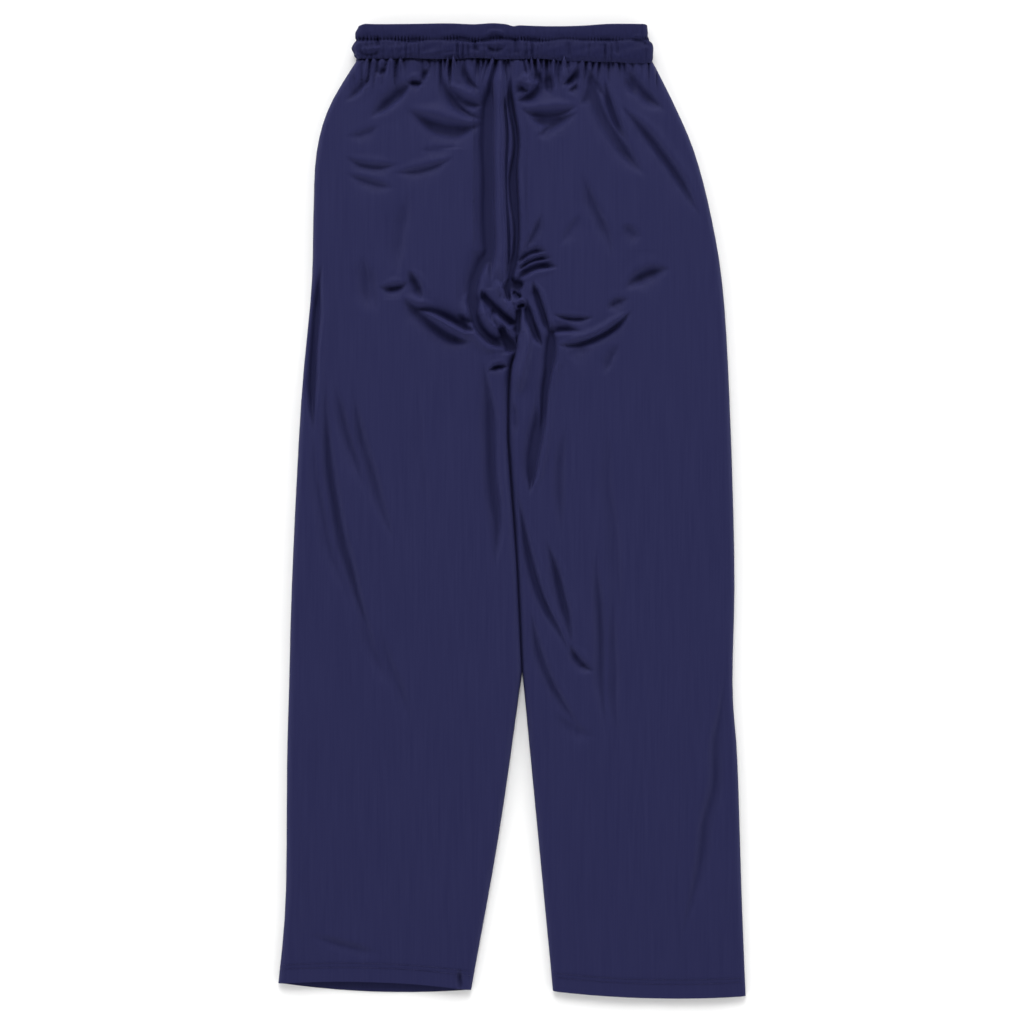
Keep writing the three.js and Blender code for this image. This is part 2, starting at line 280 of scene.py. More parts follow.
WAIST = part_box("waist_seam")[1].y / MM
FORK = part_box("inseam_left")[1].y / MM
HEM = min(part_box("back_panel_left")[0].y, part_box("back_panel_right")[0].y) / MM
heights = np.arange(FORK, HEM, -1.0)
gap = edge_x(BACK["right"], "inner", heights) - edge_x(BACK["left"], "inner", heights)
PARTED = 1.5               # the legs have parted where the gap between them is this wide
PARTING = heights[np.argmax(gap > PARTED)]
for name in SIDES:
    print(name, {k: len(v[0]) for k, v in BACK[name].items()})
print("waist", WAIST, "fork", FORK, "parting", PARTING, "hem", HEM)

# %% [markdown]
# ## A way to name places on the garment
# A fitter says "a third of the way across the left seat, just under the band", and the folds are placed in
# the same terms. Across runs from -1 at the left side seam, through 0 at the centre seam, to 1 at the right
# side seam. Down is 0 at the waist seam, 1 at the fork, 2 where the legs part and 3 at the hems.

# %% Places on the garment
def place(across, down):
    y = np.interp(down, [0, 1, 2, 3], [WAIST, FORK, PARTING, HEM])
    centre = centre_x(y)
    outer = edge_x(BACK["left" if across < 0 else "right"], "outer", y)
    return np.array([centre + abs(across) * (outer - centre), y])


def smooth_step(value, low, high):
    t = np.clip((value - low) / (high - low), 0, 1)
    return t * t * (3 - 2 * t)


# %% [markdown]
# ## Folds
# Cloth folds along lines, so each fold is one arc: where it starts and ends, how far it bows as a share of
# its length, how deep and how wide it is, and how far the cloth beside it stands up. Seen along the arc from
# its start, a positive bow goes to the right, and a positive rise stands on the left. Arcs across the garment
# run from left to right, so a positive bow sags, and long folds run down. A negative depth is a ridge.
# Simulated cloth would fold where it liked; placed arcs put each fold where this garment has it.

# %% The fold's cross-section
FOLDS = []
ARC_POINTS = 14
BOLDNESS = 1.35            # this soft cloth creases deeper than the depths that are listed, by this factor


def arc(a, b, bow):
    run = b - a
    control = (a + b) / 2 + 2 * bow * np.array([run[1], -run[0]])
    t = np.linspace(0, 1, ARC_POINTS)[:, None]
    return (1 - t) ** 2 * a + 2 * t * (1 - t) * control + t ** 2 * b


def fold(start, end, bow, depth, width, rise=0.0, ends=0.4):
    FOLDS.append((arc(place(*start), place(*end), bow), depth * BOLDNESS, width, rise, ends))


def bell(value):
    return np.exp(-value * value)


SHARP_SIDE = 0.8           # a crease is steep towards the lip that hangs over it
SOFT_SIDE = 1.8            # and fades slowly on its other side
LIP = 0.18                 # the lip's own height as a share of the crease's depth


def fold_relief(x, y, line, depth, width, rise, ends):
    """Height that one fold adds at each point, from the signed distance to its line."""
    best = np.full(x.shape, 1e9)
    side = np.ones(x.shape)
    along = np.zeros(x.shape)
    steps = len(line) - 1
    for i, (p, q) in enumerate(zip(line[:-1], line[1:])):
        run = q - p
        t = ((x - p[0]) * run[0] + (y - p[1]) * run[1]) / (run @ run)
        held = np.clip(t, 0, 1)
        away = np.hypot(x - p[0] - held * run[0], y - p[1] - held * run[1])
        nearer = away < best
        best = np.where(nearer, away, best)
        side = np.where(nearer, np.sign(run[0] * (y - p[1]) - run[1] * (x - p[0])), side)
        along = np.where(nearer, (i + held) / steps, along)
    taper = smooth_step(along, 0, ends) * smooth_step(1 - along, 0, ends)
    narrow = width * (0.4 + 0.6 * taper)
    standing = 1 if rise >= 0 else -1
    signed = best * side * standing
    reach = narrow * np.where(signed > 0, SHARP_SIDE, SOFT_SIDE)
    shape = -depth * (0.72 * bell(signed / reach) + 0.28 * bell(signed / (3.6 * narrow)))
    shape += (abs(rise) + LIP * max(depth, 0)) * bell((signed - 2.1 * narrow) / (1.7 * narrow))
    return shape * taper


# %% [markdown]
# The spare width of the seat is taken up in one long pleat over the centre back seam. Its ridges stand beside
# a deep groove that runs from the band to the fork.

# %% Folds: the centre pleat
fold((-0.085, 0.03), (-0.115, 0.86), 0.01, 11.5, 3.9, ends=0.2)
fold((-0.03, -0.02), (-0.055, 0.88), 0.00, -5.0, 3.6, ends=0.1)
fold((0.00, 0.10), (-0.035, 0.86), 0.01, 4.5, 1.5, ends=0.12)
fold((0.02, 0.14), (-0.01, 0.80), -0.01, -3.0, 2.2, ends=0.12)
fold((0.03, 0.04), (0.015, 0.68), -0.01, 9.0, 2.6, ends=0.25)
fold((0.025, 0.34), (-0.035, 0.92), -0.03, 9.0, 2.7, ends=0.25)

# %% [markdown]
# The gathers let go of the cloth just under the band. On the left it falls in hooked drapes that swing in to
# the pleat, with shallow sagging arcs below them.

# %% Folds: left seat
fold((-0.56, 0.19), (-0.11, 0.245), 0.10, 8.5, 5.0, 2.5)
fold((-0.42, 0.02), (-0.10, 0.23), 0.20, 4.5, 3.2, 1.5)
fold((-0.36, 0.09), (-0.12, 0.17), 0.14, 5.5, 3.4, 2.0)
fold((-0.28, 0.00), (-0.15, 0.12), 0.16, 4.0, 2.6, 1.0)
fold((-0.61, 0.09), (-0.49, 0.10), -0.10, 4.5, 2.6, 1.5)
fold((-0.49, 0.02), (-0.52, 0.10), 0.00, 3.5, 2.4)
fold((-0.57, 0.07), (-0.76, 0.23), -0.08, 6.0, 4.2)
fold((-0.84, 0.04), (-0.93, 0.16), -0.08, 3.0, 3.0)
fold((-0.79, 0.02), (-0.79, 0.07), 0.00, 3.0, 3.0)
fold((-0.85, 0.36), (-0.56, 0.40), 0.14, 2.6, 3.0, 0.8)
fold((-0.61, 0.44), (-0.27, 0.36), 0.08, 2.6, 3.0, 0.8)
fold((-0.84, 0.43), (-0.58, 0.50), 0.04, 2.4, 3.4, 0.6)
fold((-0.86, 0.29), (-0.68, 0.25), 0.08, 1.8, 3.2)
fold((-0.48, 0.34), (-0.26, 0.32), 0.05, 1.4, 3.2)
fold((-0.50, 0.50), (-0.58, 0.86), 0.03, 2.8, 5.5)
fold((-0.75, 0.74), (-0.71, 0.98), 0.00, 2.6, 4.0)

# %% [markdown]
# On the right the cloth bunches into a small lump beside the pleat, with two smile-shaped folds under it, and
# long drag lines run from the band out to the hip.

# %% Folds: right seat
fold((0.06, 0.16), (0.24, 0.05), 0.16, 6.0, 3.2, 2.0)
fold((0.08, 0.08), (0.17, 0.11), 0.10, 4.5, 3.0)
fold((0.12, 0.03), (0.17, 0.11), 0.00, -3.5, 3.4)
fold((0.21, 0.02), (0.22, 0.09), 0.00, 4.5, 2.2)
fold((0.08, 0.19), (0.42, 0.18), 0.10, 6.5, 3.8, 2.5)
fold((0.42, 0.18), (0.50, 0.10), 0.14, 3.0, 3.0)
fold((0.10, 0.22), (0.43, 0.20), 0.12, 4.0, 3.0, 1.0)
fold((0.28, 0.03), (0.28, 0.14), 0.00, 5.0, 2.5)
fold((0.33, 0.10), (0.48, 0.02), 0.06, 5.5, 2.8, 1.5)
fold((0.36, 0.13), (0.44, 0.09), 0.04, 2.8, 2.2)
fold((0.51, 0.02), (0.71, 0.45), 0.05, 6.5, 4.2, ends=0.3)
fold((0.52, 0.02), (0.62, 0.16), 0.03, 3.8, 2.5)
fold((0.62, 0.06), (0.67, 0.34), 0.02, 6.0, 2.5, 0.8)
fold((0.76, 0.06), (0.80, 0.14), 0.00, 1.8, 2.2)
fold((0.78, 0.01), (0.93, 0.20), 0.04, 5.5, 4.2)
fold((0.67, 0.16), (0.96, 0.62), -0.04, 4.8, 3.2, 0.8, ends=0.35)
fold((0.14, 0.30), (0.32, 0.22), 0.04, 2.6, 3.0)
fold((0.37, 0.42), (0.47, 0.78), -0.04, 3.2, 4.0)
fold((0.22, 0.72), (0.36, 0.58), 0.02, 1.5, 3.8)
fold((0.56, 0.63), (0.64, 0.69), 0.10, 2.2, 4.2)

# %% [markdown]
# All four panels meet at the fork. The cloth is trapped there, so it knots into a hook-shaped fold with small
# arcs fanning out from it.

# %% Folds: the fork
fold((-0.115, 0.72), (-0.21, 0.98), 0.085, 8.0, 3.9, ends=0.2)
fold((-0.21, 0.87), (-0.05, 1.085), 0.19, 8.0, 3.0, -2.4, ends=0.2)
fold((-0.17, 0.93), (-0.06, 1.05), 0.12, -4.6, 2.8, ends=0.25)
fold((-0.125, 0.965), (-0.04, 1.05), 0.00, -4.6, 2.4, ends=0.3)
fold((-0.095, 1.01), (0.00, 1.09), 0.05, 13.0, 2.3, 0.6, ends=0.2)
fold((-0.04, 1.05), (0.00, 1.10), 0.00, 7.0, 2.4, ends=0.3)
fold((-0.17, 0.88), (-0.015, 1.02), 0.03, 7.0, 2.5, 1.0, ends=0.15)
fold((-0.13, 0.96), (-0.10, 0.97), 0.00, 2.6, 2.6)
fold((-0.09, 0.84), (-0.03, 1.00), -0.03, -4.5, 3.0, ends=0.25)
fold((-0.035, 0.85), (-0.035, 0.94), 0.00, 8.0, 2.0, ends=0.3)
fold((0.015, 0.95), (-0.01, 1.05), 0.04, 7.5, 1.8, 1.2, ends=0.2)
fold((-0.045, 0.85), (0.05, 0.87), 0.00, 10.0, 3.6, ends=0.25)
fold((-0.01, 0.89), (0.03, 0.92), 0.00, 5.0, 1.5, ends=0.25)
fold((-0.01, 0.96), (0.045, 0.945), -0.20, 5.0, 1.6, 1.2, ends=0.3)
fold((0.05, 0.92), (0.12, 1.08), 0.06, 8.0, 2.6, 1.0, ends=0.3)
fold((0.025, 0.99), (0.05, 1.22), -0.04, -5.0, 4.0, ends=0.3)
fold((0.085, 0.85), (0.155, 1.05), -0.02, 6.0, 1.9, 1.0, ends=0.25)
fold((0.00, 0.80), (0.17, 0.735), -0.18, 4.2, 2.2, -0.8, ends=0.3)
fold((0.01, 0.82), (0.19, 0.765), -0.16, 4.2, 1.9, -0.8, ends=0.3)
fold((0.01, 0.86), (0.21, 0.80), -0.18, 6.0, 2.4, -0.8, ends=0.3)
fold((0.03, 0.74), (0.16, 0.58), 0.04, 2.6, 2.6)

# %% [markdown]
# From the fork the folds fan out over the thighs: two lips sweep across the left thigh, a smile hangs on the
# right one, and one long fold follows the right inner thigh.

# %% Folds: thighs
fold((0.155, 1.00), (0.075, 1.50), -0.03, 7.0, 2.4, 1.0, ends=0.16)
fold((0.165, 1.01), (0.175, 1.16), -0.04, 6.5, 3.2, 0.6, ends=0.4)
fold((0.135, 1.20), (0.08, 1.50), 0.00, 5.5, 3.4, 0.4, ends=0.45)
fold((0.13, 1.045), (0.31, 1.035), -0.08, 4.5, 2.2, -0.8)
fold((0.18, 1.07), (0.56, 0.955), 0.11, 5.0, 2.3, 2.0, ends=0.3)
fold((0.16, 0.98), (0.37, 0.99), 0.08, 3.6, 1.8)
fold((0.43, 0.97), (0.55, 0.92), -0.14, 2.8, 3.2)
fold((0.52, 0.89), (0.76, 0.81), -0.16, 5.5, 4.4)
fold((0.49, 1.06), (0.43, 1.16), 0.03, 2.0, 3.2)
fold((0.24, 1.10), (0.36, 1.08), -0.08, 1.6, 4.5)
fold((-0.67, 0.87), (-0.53, 0.86), 0.12, 4.4, 2.6, 0.8)
fold((-0.53, 0.81), (-0.47, 0.94), -0.08, 4.8, 3.2, 0.8)
fold((-0.52, 0.95), (-0.19, 1.035), -0.02, 6.0, 2.3, -2.4, ends=0.2)
fold((-0.56, 0.91), (-0.20, 1.06), 0.09, 6.0, 3.6, 3.0, ends=0.25)
fold((-0.30, 0.975), (-0.20, 1.005), 0.03, 3.8, 2.2)
fold((-0.11, 1.15), (0.01, 1.135), -0.16, 4.0, 1.9, 0.6)
fold((-0.16, 1.08), (-0.09, 1.72), -0.02, 5.4, 4.4, 0.8, ends=0.35)
fold((0.02, 1.22), (0.03, 1.33), 0.00, 1.8, 2.6)
fold((0.02, 1.46), (0.25, 1.96), 0.05, 5.0, 2.8, 0.8)
fold((0.13, 1.60), (0.23, 1.93), -0.05, 4.6, 2.8, 0.8)
fold((0.22, 1.90), (0.36, 1.98), 0.10, 4.0, 2.6, 0.6)
fold((0.05, 1.78), (0.30, 2.18), 0.08, 3.2, 3.0, 0.6)
fold((0.26, 1.28), (0.22, 1.62), 0.04, 2.4, 3.8)
fold((0.42, 1.22), (0.47, 1.95), -0.01, 2.0, 4.5)
fold((0.37, 1.60), (0.39, 2.20), 0.00, 3.2, 3.6)
fold((0.43, 1.72), (0.45, 2.24), 0.00, 2.4, 3.8)

# %% [markdown]
# The left leg is pulled a little towards its side seam, so long drag lines run down it from the hip. The
# lower legs are nearly smooth.

# %% Folds: side drag lines and lower legs
fold((-0.95, 0.76), (-0.93, 1.34), 0.01, 7.5, 3.0, 1.2, ends=0.35)
fold((-0.90, 1.12), (-0.60, 1.96), 0.05, 4.8, 3.4, 0.9)
fold((-0.86, 1.16), (-0.66, 1.50), 0.02, 3.2, 3.8)
fold((-0.78, 1.16), (-0.53, 1.64), 0.02, 3.4, 3.8)
fold((-0.95, 1.26), (-0.70, 1.86), 0.05, 2.3, 3.8)
fold((-0.70, 0.78), (-0.66, 0.98), 0.04, 1.8, 3.6)
fold((-0.70, 1.82), (-0.56, 2.04), 0.03, 1.8, 4.2)
fold((-0.62, 1.84), (-0.46, 2.16), 0.02, 1.8, 4.2)
fold((-0.44, 1.20), (-0.40, 1.60), 0.00, 1.1, 4.8)
fold((0.96, 1.94), (0.72, 2.86), -0.02, 3.2, 4.4, -0.5)
fold((-0.235, 2.91), (-0.215, 2.985), 0.00, 2.6, 1.7)
fold((0.14, 2.10), (0.36, 2.18), 0.10, 1.6, 4.2)
fold((-0.90, 2.80), (-0.56, 2.86), 0.03, 1.8, 3.2)
print("folds:", len(FOLDS))

# %% [markdown]
# ## The height of the cloth
# Two layers of knit with a little air between them make a low pillow. It rolls down to the floor at the side
# edges and where the thighs touch. On top of that lie the folds, the gathers under the band, and a slow
# seeded swell, because no laid cloth is ever quite level.

# %% The height of the cloth
LOFT_AT_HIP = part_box("back_panel_left")[1].z / MM - 1.0
LOFT_AT_CALF = 8.5
LOFT_AT_HEM = 6.5
EDGE_Z = 2.2               # the back layer's height where it has rolled down to the front layer
SIDE_ROLL = 7.0            # width of the roll along the side seams
THIGH_ROLL = 8.0           # and where the thighs touch
GATHER_REACH = 9.0         # how far the small gathers reach below the band
GATHER_DEPTH = 2.5
TUCK_REACH = 24.0          # and the larger tucks
TUCK_DEPTH = 6.0
WANDER = 1.3               # how far a fold's line strays from its arc
LONG_SWELL = 0.35
FINE_SWELL = 0.10
LOWEST_BACK = 2.6          # no crease goes deeper, because the front layer lies there
CREASE_ROUND = 0.7         # over how many mm a crease levels off as it gets there
FOLD_STRENGTH = 1.26       # one dial for how crumpled the back is
SEAM_DIP = 2.2             # the waist seam pulls the panels down where they pass under the band
random = np.random.default_rng(41)


def swell(count, shortest, longest, slant):
    """A seeded sum of slow waves: each has a direction, a wavelength in mm and a phase."""
    waves = []
    for _ in range(count):
        angle = random.normal(0, slant)
        length = random.uniform(shortest, longest)
        waves.append((math.cos(angle) / length, math.sin(angle) / length, random.uniform(0, 2 * math.pi)))

    def height(x, y):
        return sum(np.sin(2 * math.pi * (a * x + b * y) + p) for a, b, p in waves) / math.sqrt(count)

    return height


long_swell = swell(7, 34, 90, 0.35)
fine_swell = swell(9, 11, 24, 0.5)
wander = swell(6, 60, 140, 1.5)
wander_down = swell(6, 60, 140, 1.5)
tuck_wave = swell(6, 12, 26, 0.10)
gather_wave = swell(6, 4.5, 9, 0.10)
gather_envelope = swell(5, 22, 60, 0.1)


def roll(distance, radius):
    """0 at an edge, rising as a quarter circle to 1 at the given distance from it."""
    t = 1 - np.clip(distance / radius, 0, 1)
    return np.sqrt(np.clip(1 - t * t, 0, 1))


def edge_roll(x, y, name):
    side = SIDES[name]
    outside = side * (edge_x(BACK[name], "outer", y) - x)
    inside = side * (x - edge_x(BACK[name], "inner", y))
    legs = smooth_step(-y, -FORK - 4, -FORK + 34)
    return roll(outside, SIDE_ROLL) * (1 - legs * (1 - roll(inside, THIGH_ROLL)))


def loft(y):
    return np.interp(y, [HEM, HEM + 120, FORK - 120, WAIST],
                     [LOFT_AT_HEM, LOFT_AT_CALF, LOFT_AT_HIP, LOFT_AT_HIP + 0.5])


def folds_at(x, y, folds):
    total = np.zeros(x.shape)
    warped_x = x + WANDER * wander(x, y)
    warped_y = y + WANDER * wander_down(x, y)
    for line, depth, width, rise, ends in folds:
        reach = 4.5 * width
        low, high = line.min(0) - reach, line.max(0) + reach
        near = (x > low[0]) & (x < high[0]) & (y > low[1]) & (y < high[1])
        if near.any():
            total[near] += fold_relief(warped_x[near], warped_y[near], line, depth, width, rise, ends)
    return total


def gathers_at(x, y):
    below = np.clip(WAIST - y, 0, None)
    strength = 0.9 + 0.6 * gather_envelope(x, y)
    slanted = x + 0.12 * below * gather_envelope(x * 0.5, y)
    creased = np.abs(tuck_wave(slanted, y * 0.2)) ** 0.7 - 0.8
    tucks = TUCK_DEPTH * creased * np.exp(-(below / TUCK_REACH) ** 2)
    small = GATHER_DEPTH * gather_wave(slanted, y * 0.2) * np.exp(-below / GATHER_REACH)
    return strength * (tucks + small)


def back_height(x, y, name):
    rolled = edge_roll(x, y, name)
    relief = FOLD_STRENGTH * folds_at(x, y, FOLDS) + gathers_at(x, y)
    relief = relief + LONG_SWELL * long_swell(x, y * 0.35) + FINE_SWELL * fine_swell(x, y * 0.4)
    relief = relief - SEAM_DIP * smooth_step(y, WAIST - 1.5, WAIST + 2)
    height = EDGE_Z + (loft(y) - EDGE_Z) * rolled + relief * rolled
    soft = np.logaddexp(0, (height - LOWEST_BACK) / CREASE_ROUND) * CREASE_ROUND
    return LOWEST_BACK + soft - CREASE_ROUND * math.log(2) * (1 - rolled)


def either_leg(height, x, y):
    """The height of a layer, taken from the panel of the leg that each point is on."""
    return np.where(x < centre_x(y), height(x, y, "left"), height(x, y, "right"))


FRONT_Z = 0.45             # the front layer lies on the floor
FRONT_LIFT = 1.1           # and turns up by this much along its seams


def front_height(x, y, name):
    side = SIDES[name]
    outside = side * (edge_x(FRONT[name], "outer", y) - x)
    inside = side * (x - edge_x(FRONT[name], "inner", y))
    below_fork = smooth_step(-y, -FORK, -FORK + 30)
    lift = bell(np.clip(outside, 0, None) / 5) + below_fork * bell(np.clip(inside, 0, None) / 4)
    return FRONT_Z + FRONT_LIFT * np.clip(lift, 0, 1) + 0.1 * np.clip(long_swell(x, y * 0.4), -1, 1)


# %% [markdown]
# ## Panels
# A panel is one open sheet of quads between its cutting lines. Rows are closer together in the seat and at
# the fork, where the folds are small, and columns are closer along both edges, where the cloth rolls down.

# %% Sheets from rows of points
def smooth_object(name, vertices, faces, material):
    mesh = bpy.data.meshes.new(name)
    mesh.from_pydata((np.asarray(vertices) * MM).tolist(), [], faces)
    mesh.polygons.foreach_set("use_smooth", np.ones(len(mesh.polygons), bool))
    mesh.materials.append(material)
    made = bpy.data.objects.new(name, mesh)
    bpy.context.scene.collection.objects.link(made)
    return made


def sheet_object(name, points, material, closed=False):
    """A mesh from rows x columns x 3 points in mm. closed joins the last column to the first."""
    rows, columns = points.shape[:2]
    count = np.arange(rows * columns).reshape(rows, columns)
    right = np.roll(count, -1, axis=1)
    last = columns if closed else columns - 1
    faces = np.stack([count[:-1, :last], right[:-1, :last], right[1:, :last], count[1:, :last]], -1)
    return smooth_object(name, points.reshape(-1, 3), faces.reshape(-1, 4).tolist(), material)


def spread(count, density):
    """Shares from 0 to 1, closer together where the density is high."""
    t = np.linspace(0, 1, 2001)
    total = np.concatenate([[0], np.cumsum(density((t[1:] + t[:-1]) / 2))])
    return np.interp(np.linspace(0, 1, count), total / total[-1], t)


def laid_grid(lines, rows, columns, top):
    """X and Y of a grid between the cutting lines. Rows run up from the hem, columns in from the side."""
    outer_x = edge_x(lines, "outer", -1e4)
    inner_x = edge_x(lines, "inner", -1e4)
    hem_y = np.interp(outer_x + (inner_x - outer_x) * columns, *lines["hem"])
    y = hem_y[None, :] + (top - hem_y)[None, :] * rows[:, None]
    left, right = edge_x(lines, "outer", y), edge_x(lines, "inner", y)
    met = smooth_step(y, PARTING - 2, PARTING + 25)
    below_fork = smooth_step(-y, -FORK - 4, -FORK + 10)
    overlap = SEAM_OVERLAP + (THIGH_OVERLAP - SEAM_OVERLAP) * below_fork
    right = right + np.sign(right - left) * overlap * met
    return left + (right - left) * columns[None, :], y


# %% Back and front panels
UNDER_BAND = 4.0           # the panels reach this far up inside the band
THIGH_OVERLAP = 0.7        # each thigh presses this far into the other where they touch
seam_gap = edge_x(BACK["right"], "inner", FORK + 50) - edge_x(BACK["left"], "inner", FORK + 50)
SEAM_OVERLAP = seam_gap / 2 + 0.05      # closes the hairline between the two panels at the centre seam
print("seam gap", round(seam_gap, 2), "mm")
fine_rows = spread(640, lambda t: 1 + 1.3 * smooth_step(t, 0.30, 0.42))
fine_columns = spread(150, lambda t: 1 + 2.5 * bell(t / 0.05) + 1.3 * bell((1 - t) / 0.4))
plain_rows = np.linspace(0, 1, 260)
plain_columns = spread(60, lambda t: 1 + 2 * bell(t / 0.05) + 2 * bell((1 - t) / 0.05))


for name, side in SIDES.items():
    for layer, lines, rows, columns, height in (
        ("back", BACK, fine_rows, fine_columns, back_height),
        ("front", FRONT, plain_rows, plain_columns, front_height),
    ):
        x, y = laid_grid(lines[name], rows, columns, WAIST + UNDER_BAND)
        z = height(x, y, name)
        points = np.stack([x, y, z], -1)
        piece = sheet_object(f"{layer}_panel_cloth_{name}", points if side < 0 else points[:, ::-1], knit)
        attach(piece, "root")
        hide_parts(f"{layer}_panel_{name}")
        low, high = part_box(f"{layer}_panel_{name}")
        print(piece.name, len(piece.data.polygons), "quads, z", round(z.min(), 2), round(z.max(), 2))

# %% [markdown]
# ## Waistband
# The band is one strip of the same knit. It is folded over its top edge with two elastics inside, and sewn
# once along the middle between them, so it bulges above and below that line and is pinched at it. The
# elastics are shorter than the cloth, so the cloth stands in small upright gathers, strongest where it is
# sewn. One ring function gives the outer cloth, the elastics and the inner turn, each at its own depth.

# %% The waistband's ring
band_low, band_high = (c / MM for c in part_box("waistband_outer"))
divider_low, divider_high = (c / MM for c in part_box("waistband_divider_seam"))
DIVIDER_Y = (divider_low.y + divider_high.y) / 2
BAND_TOP = band_high.y
BAND_BOTTOM = band_low.y
BAND_MIDDLE = (band_low.x + band_high.x) / 2
BAND_INSIDE = 0.9          # the cloth's ring lies this far inside the CAD's, which leaves room for its bulges
BAND_RADIUS = (band_high.z - band_low.z) / 2 - BAND_INSIDE
BAND_REACH = (band_high.x - band_low.x) / 2 - BAND_RADIUS
LAP = 4 * BAND_REACH + 2 * math.pi * BAND_RADIUS
stitch_gather = swell(6, 4.6, 7.5, 0.04)
elastic_gather = swell(7, 3.6, 9.5, 0.10)
crumple = swell(8, 9, 26, 1.2)
band_envelope = swell(5, 30, 80, 0.05)
top_waver = swell(4, 40, 110, 0.0)
row_waver = swell(4, 30, 90, 0.0)
HALF_BAND = BAND_REACH + BAND_RADIUS
EYELETS = [middle_of(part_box(f"drawcord_eyelet_{name}")) / MM for name in SIDES]
EYELET_CALM = 8            # the cloth lies flat within about this distance of an eyelet
EYELET_CLOTH_Z = 1.0       # and at this height, so that the eyelet stands out below it
DEEPEST_PINCH = -3.0       # the elastics inside stop the cloth from sinking further


def on_band(across, up):
    """A place on the back of the band: across from -1 to 1, up from 0 at the seam to 1 at the top."""
    return np.array([BAND_MIDDLE + across * HALF_BAND, BAND_BOTTOM + up * (BAND_TOP - BAND_BOTTOM)])


def band_fold(start, end, bow, depth, width, rise=0.0, ends=0.3):
    BAND_FOLDS.append((arc(on_band(*start), on_band(*end), bow), depth, width, rise, ends))


BAND_FOLDS = []
band_fold((-0.99, 0.27), (-0.83, 0.32), 0.22, 3.6, 2.0, 1.4)
band_fold((-0.85, 0.68), (-0.835, 0.30), 0.05, 2.8, 1.6)
band_fold((-0.14, 0.38), (0.01, 0.36), 0.22, 3.6, 2.0, 1.2)
band_fold((-0.13, 0.52), (0.01, 0.48), -0.20, 2.4, 1.8, 0.8)
band_fold((-0.20, 0.62), (-0.16, 0.08), 0.10, 2.4, 1.8, 0.6)
band_fold((0.07, 0.66), (0.09, 0.06), 0.00, 2.6, 2.0, 0.8)
band_fold((0.45, 0.48), (0.45, 0.06), 0.00, 2.0, 1.8)
band_fold((0.67, 0.48), (0.68, 0.06), 0.00, 1.6, 1.8)
band_fold((0.75, 0.56), (0.76, 0.10), 0.00, 2.0, 1.8)
band_fold((0.84, 0.50), (0.99, 0.34), -0.10, 1.8, 1.8, 0.8)
band_fold((-0.52, 0.08), (-0.28, 0.20), -0.06, 1.4, 1.6)


def hoop(s):
    """Point and outward direction at each arc length s round the flattened ring, from the back's right."""
    back = 2 * BAND_REACH
    turn = math.pi * BAND_RADIUS
    s = np.mod(s, LAP)
    left_turn = np.clip(s - back, 0, turn) / BAND_RADIUS
    right_turn = np.clip(s - 2 * back - turn, 0, turn) / BAND_RADIUS
    angle = math.pi / 2 + left_turn + right_turn
    on_front = s > back + turn
    straight = np.where(on_front, -BAND_REACH + np.clip(s - back - turn, 0, back),
                        BAND_REACH - np.clip(s, 0, back))
    outward = np.stack([np.cos(angle), np.sin(angle)], -1)
    middle = np.stack([BAND_MIDDLE + straight, np.full(s.shape, BAND_RADIUS + BAND_INSIDE)], -1)
    return middle, outward


def band_relief(s, y, x):
    """How far the band's cloth stands out at arc length s and height y."""
    upper = np.clip((y - DIVIDER_Y) / (BAND_TOP - DIVIDER_Y), 0, 1)
    lower = np.clip((DIVIDER_Y - y) / (DIVIDER_Y - BAND_BOTTOM), 0, 1)
    calm = smooth_step(x, BAND_MIDDLE + 15, BAND_MIDDLE + 45)
    bulge = 0.8 * np.sin(math.pi * upper) + 1.0 * np.sin(math.pi * lower)
    pinch = (1.2 - 0.2 * calm) * bell((y - DIVIDER_Y) / 1.4) + 1.9 * bell((y - BAND_BOTTOM) / 2.6)
    strength = np.clip(1 + 0.6 * band_envelope(s, 0 * y), 0.2, 2) * (1 - 0.55 * calm)
    ticks = bell(stitch_gather(s, y * 0.2) / 0.5)
    small = -3.8 * strength * bell((y - DIVIDER_Y - 1.2) / 2.6) * ticks
    tall = 0.85 * strength * smooth_step(lower, 0, 0.3) * elastic_gather(s, y * 0.5)
    loose = 0.65 * (1 - 0.6 * calm) * crumple(s, y) * np.sin(math.pi * np.clip(lower, 0.05, 0.95))
    faint = 0.14 * np.sin(math.pi * upper) * elastic_gather(s, y * 0.2)
    return np.maximum(bulge - pinch + small + tall + loose + faint, DEEPEST_PINCH)


